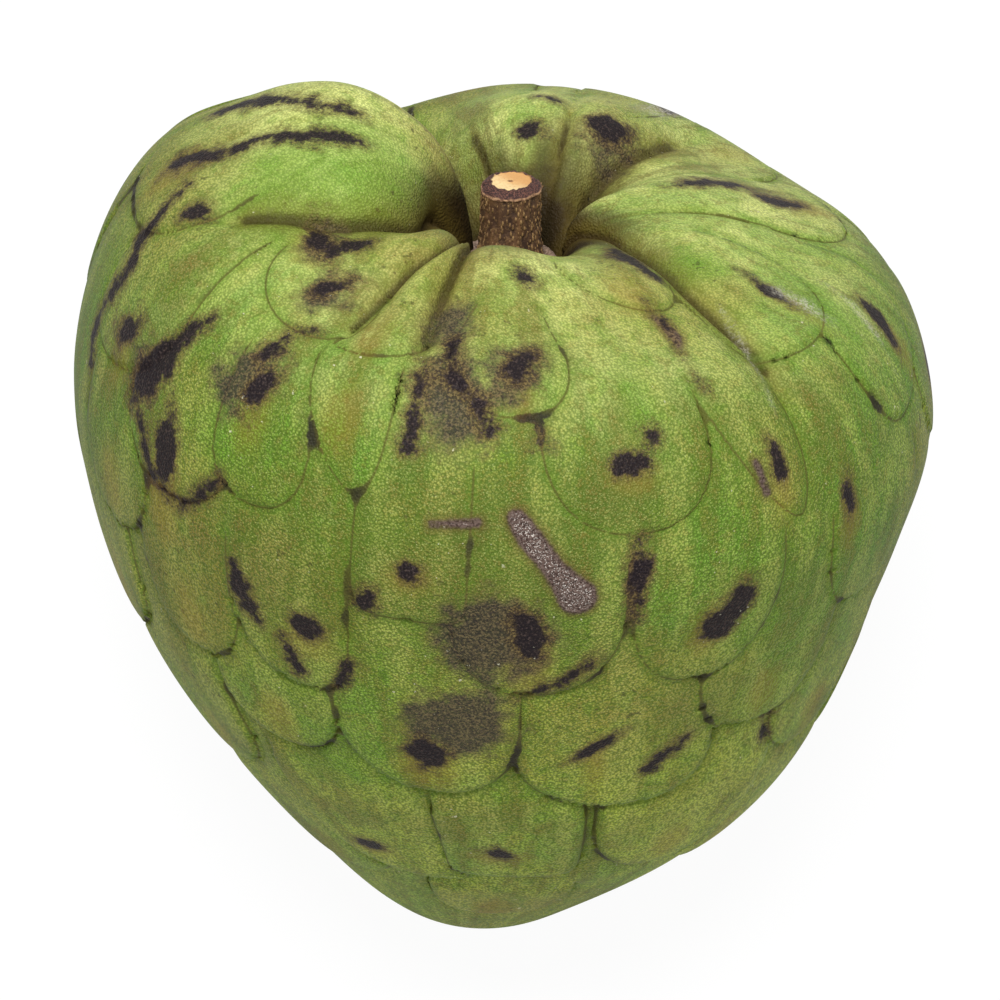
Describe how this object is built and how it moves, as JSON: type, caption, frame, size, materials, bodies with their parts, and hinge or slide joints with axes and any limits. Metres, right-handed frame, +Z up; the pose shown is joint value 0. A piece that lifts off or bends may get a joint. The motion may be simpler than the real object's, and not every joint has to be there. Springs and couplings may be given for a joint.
{
  "type": "cherimoya",
  "caption": "Whole heart-shaped cherimoya with overlapping scales and a short cut stem stub, lying on its flank on a small flat spot.",
  "frame": {"origin": "on the table, under the middle of the bounding box of the lying fruit", "axes": "+Z up from the table; +Y the way the stem end points, so the fruit's axis from tip to stem rises 33 degrees from +Y towards +Z; +X to the side"},
  "size_m": [0.1094, 0.112, 0.1078],
  "materials": {
    "skin": "waxy satin, pebbled, with dark bruises",
    "bark": "rough bark with a pale cut end"
  },
  "bodies": {
    "root": {"fruit": "skin", "stem": "bark"}
  },
  "joints": []
}
